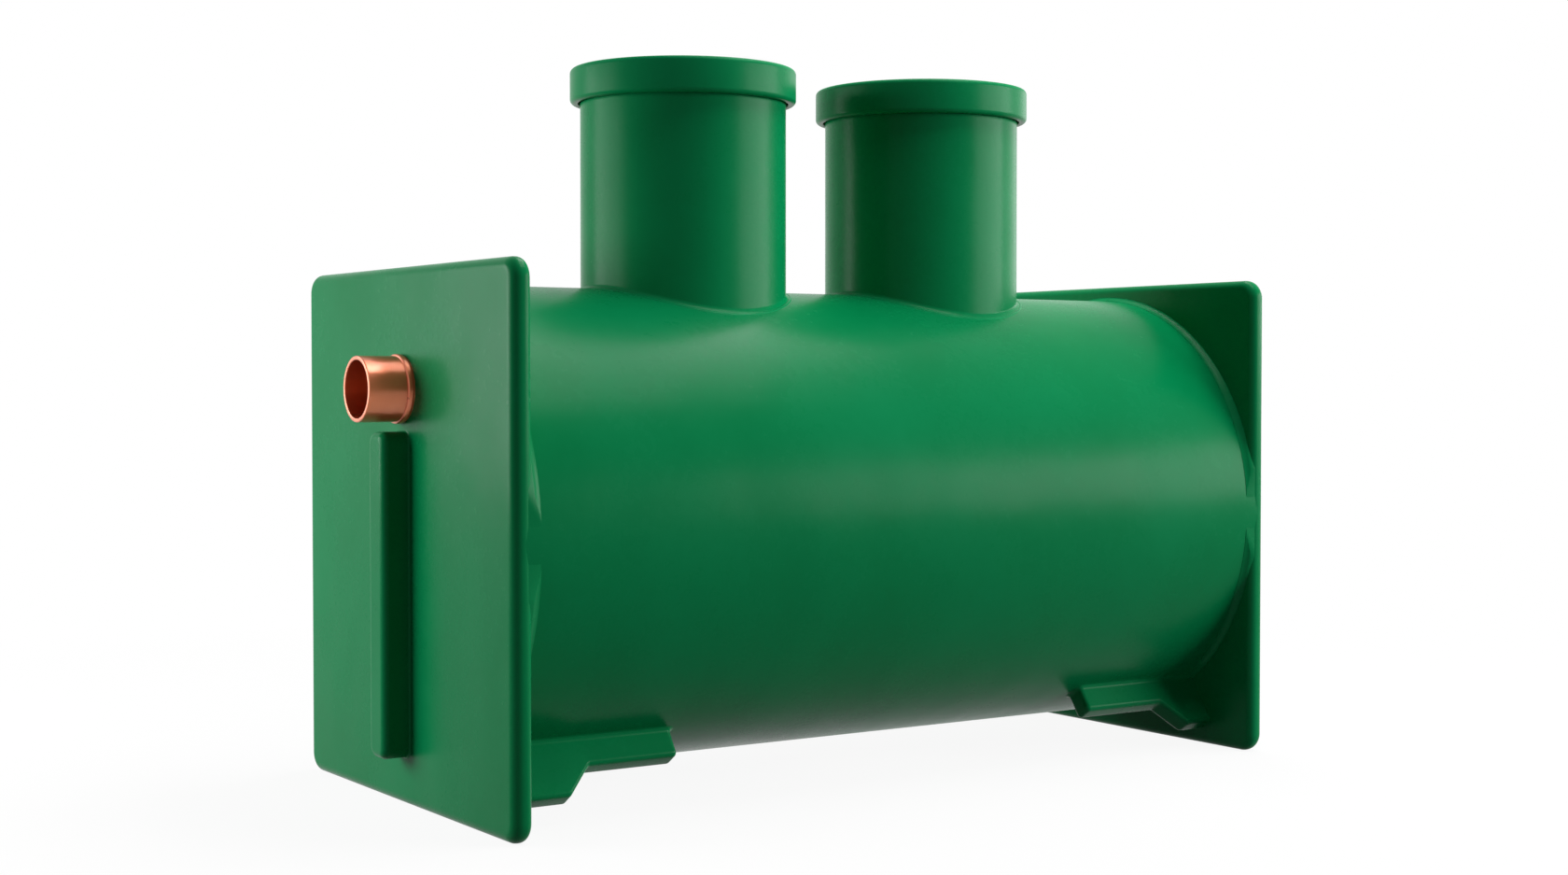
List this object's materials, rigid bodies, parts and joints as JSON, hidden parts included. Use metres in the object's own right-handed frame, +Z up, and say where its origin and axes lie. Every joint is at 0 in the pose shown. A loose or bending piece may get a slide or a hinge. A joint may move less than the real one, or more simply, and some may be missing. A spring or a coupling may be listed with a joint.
{
  "type": "septic tank",
  "caption": "Green plastic septic tank: a lying barrel between square end plates, with lidded access shafts on top, pipe stubs at the ends and anchoring fins below.",
  "frame": {"origin": "on the ground, under the middle of the tank", "axes": "+X along the barrel from the inlet end to the outlet end, +Z up, -Y towards the front"},
  "size_m": [2.542, 1.2, 1.841],
  "materials": {
    "moulded_green": "satin moulded polymer, deep green",
    "lid_green": "satin moulded polymer, slightly lighter green",
    "sewer_pipe": "glossy copper-brown sewer pipe"
  },
  "bodies": {
    "tank": {"barrel_crown_inlet": "moulded_green", "barrel_crown_outlet": "moulded_green", "barrel_front_upper": "moulded_green", "barrel_front_middle": "moulded_green", "barrel_front_lower": "moulded_green", "barrel_back_upper": "moulded_green", "barrel_back_middle": "moulded_green", "barrel_back_lower": "moulded_green", "inlet_end_plate": "moulded_green", "outlet_end_plate": "moulded_green", "inlet_weld_upper": "moulded_green", "inlet_weld_lower": "moulded_green", "outlet_weld_upper": "moulded_green", "outlet_weld_lower": "moulded_green", "inlet_rib": "moulded_green", "outlet_rib": "moulded_green", "inlet_shaft": "moulded_green", "outlet_shaft": "moulded_green", "inlet_shaft_weld": "moulded_green", "outlet_shaft_weld": "moulded_green", "inlet_fin_front": "moulded_green", "inlet_fin_back": "moulded_green", "outlet_fin_front": "moulded_green", "outlet_fin_back": "moulded_green", "inlet_pipe": "sewer_pipe", "outlet_pipe": "sewer_pipe", "inlet_pipe_collar": "sewer_pipe", "outlet_pipe_collar": "sewer_pipe"},
    "inlet_lid": {"inlet_lid": "lid_green"},
    "outlet_lid": {"outlet_lid": "lid_green"}
  },
  "joints": [
    {"name": "inlet_lid_lift", "type": "slide", "parent": "tank", "child": "inlet_lid", "axis": [0, 0, 1], "range_m": [0, 0.4]},
    {"name": "outlet_lid_lift", "type": "slide", "parent": "tank", "child": "outlet_lid", "axis": [0, 0, 1], "range_m": [0, 0.4]}
  ]
}
